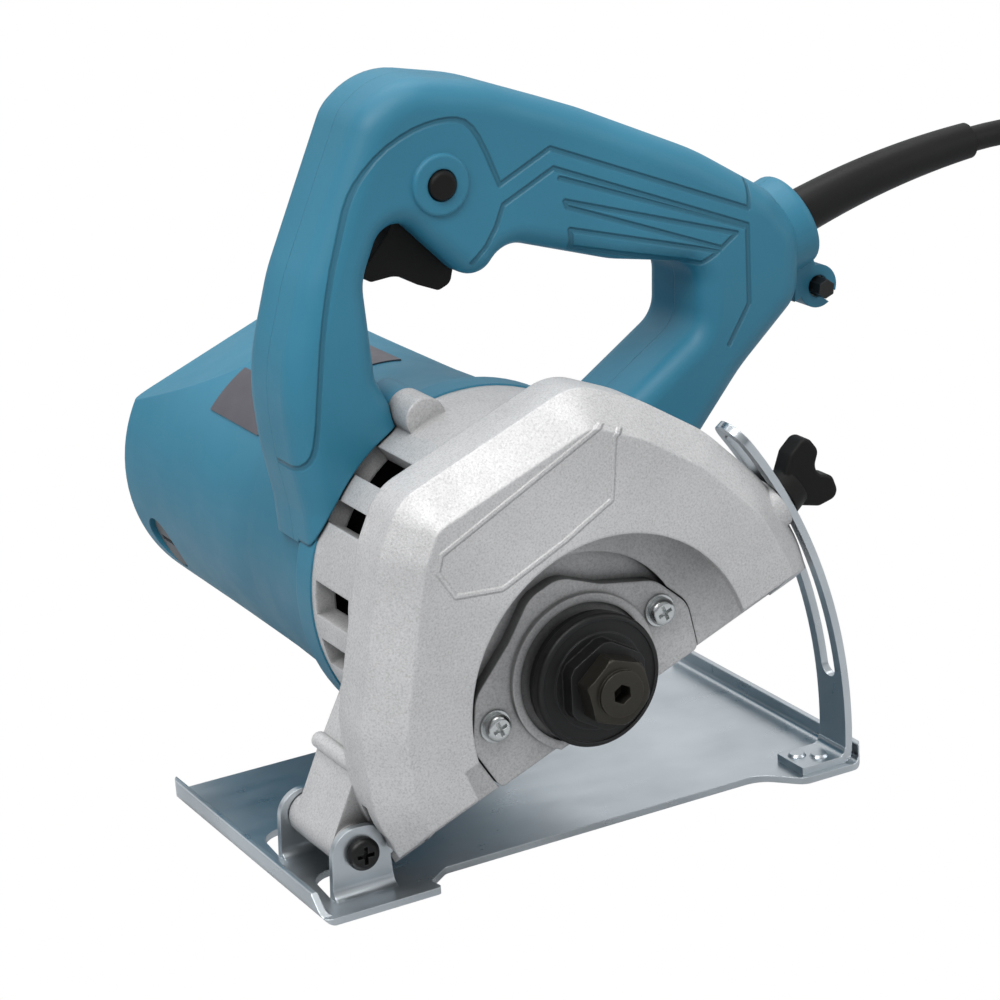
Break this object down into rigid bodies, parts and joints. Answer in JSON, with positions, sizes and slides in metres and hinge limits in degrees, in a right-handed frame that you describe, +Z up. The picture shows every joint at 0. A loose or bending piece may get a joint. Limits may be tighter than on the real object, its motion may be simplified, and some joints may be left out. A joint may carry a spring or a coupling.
{
  "type": "handheld stone and tile trim saw",
  "caption": "Handheld electric trim saw for stone and tile: D-handled motor unit hinged on a sheet-steel base with a depth guide, arbor flanges and a mains lead.",
  "frame": {"origin": "centre of the base plate's flat underside, on the surface the saw stands on", "axes": "+X towards the mains lead's end, -Y towards the wheel side, +Z up"},
  "size_m": [0.5209, 0.2072, 0.2072],
  "materials": {
    "zinc_steel": "bright zinc-plated sheet",
    "bright_zinc": "zinc-plated fasteners",
    "black_screw": "black oxide screw",
    "cast_aluminium": "shot-blasted die casting",
    "ground_steel": "ground steel",
    "black_oxide": "black oxide steel",
    "olive_bolt": "dark phosphate steel",
    "lamination_steel": "stacked laminations",
    "copper_winding": "enamelled copper winding",
    "commutator_copper": "copper bars",
    "brush_brass": "brass sleeve",
    "carbon": "carbon block",
    "grey_cap": "grey moulded cap",
    "teal_plastic": "fine-grained moulded housing",
    "black_plastic": "black moulded plastic",
    "black_plastic_metal": "black-coated wing bolt",
    "label_film": "blank label film",
    "black_rubber": "smooth rubber",
    "lead_rubber": "rubber mains lead",
    "bright_pin": "nickel-plated pins"
  },
  "bodies": {
    "saw_body": {"gear_housing": "cast_aluminium", "bearing_box": "cast_aluminium", "bearing_box_screws": "bright_zinc", "bearing_box_washers": "bright_zinc", "spindle_front_bearing": "ground_steel", "spindle_rear_bearing": "ground_steel", "armature_front_bearing": "ground_steel", "armature_rear_bearing": "ground_steel", "field_core": "lamination_steel", "field_windings": "copper_winding", "fan_baffle": "black_plastic", "brush_holders": "brush_brass", "carbon_brushes": "carbon", "brush_caps": "grey_cap", "motor_housing": "teal_plastic", "handle_cover": "teal_plastic", "handle_screws": "bright_zinc", "housing_screws": "bright_zinc", "label_plates": "label_film", "switch_body": "black_plastic", "trigger_pin": "ground_steel", "button_spring": "ground_steel", "lead_clamp": "black_plastic", "clamp_screws": "bright_zinc", "cord_guard": "black_rubber", "lead_tube": "lead_rubber", "lead_coil": "lead_rubber", "plug_body": "lead_rubber", "plug_pins": "bright_pin"},
    "base": {"base_plate": "zinc_steel", "depth_guide": "zinc_steel", "guide_rivets": "zinc_steel", "hinge_screw": "black_screw", "hinge_nut": "bright_zinc"},
    "spindle": {"spindle": "ground_steel", "drive_gear": "ground_steel", "inner_flange": "black_oxide", "outer_flange": "black_oxide", "arbor_bolt": "olive_bolt"},
    "armature": {"armature_shaft": "ground_steel", "armature_core": "lamination_steel", "armature_windings": "copper_winding", "commutator": "commutator_copper", "cooling_fan": "black_plastic"},
    "trigger": {"trigger": "black_plastic"},
    "lock_button": {"lock_button": "black_plastic"},
    "wing_bolt": {"wing_bolt": "black_plastic_metal"},
    "hex_key": {"hex_key": "black_oxide"}
  },
  "joints": [
    {"name": "depth_hinge", "type": "hinge", "parent": "saw_body", "child": "base", "pos_m": [-0.0693, 0, 0.0133], "axis": [0, -1, 0], "range_deg": [-8.4, 19.5]},
    {"name": "spindle_turn", "type": "hinge", "parent": "saw_body", "child": "spindle", "pos_m": [0.0022, -0.03, 0.04643], "axis": [0, 1, 0], "continuous": true},
    {"name": "armature_turn", "type": "hinge", "parent": "saw_body", "child": "armature", "pos_m": [-0.00663, 0.05, 0.06604], "axis": [0, 1, 0], "continuous": true},
    {"name": "trigger_squeeze", "type": "hinge", "parent": "saw_body", "child": "trigger", "pos_m": [-0.0176, 0.0105, 0.16977], "axis": [0, -1, 0], "range_deg": [0, 10], "stiffness_Nm_per_rad": 0.5, "springref_deg": -14.32},
    {"name": "lock_button_press", "type": "slide", "parent": "saw_body", "child": "lock_button", "axis": [0, 1, 0], "range_m": [0, 0.003], "stiffness_N_per_m": 400, "springref_m": -0.002},
    {"name": "wing_bolt_turn", "type": "hinge", "parent": "saw_body", "child": "wing_bolt", "pos_m": [0.06427, -0.043, 0.08372], "axis": [0.8846, 0, 0.4664], "range_deg": [0, 360]},
    {"name": "hex_key_slide", "type": "slide", "parent": "saw_body", "child": "hex_key", "axis": [0, 1, 0], "range_m": [0, 0.02]}
  ],
  "couplings": [
    {"joint": "spindle_turn", "follows": "armature_turn", "ratio": -0.3871}
  ]
}
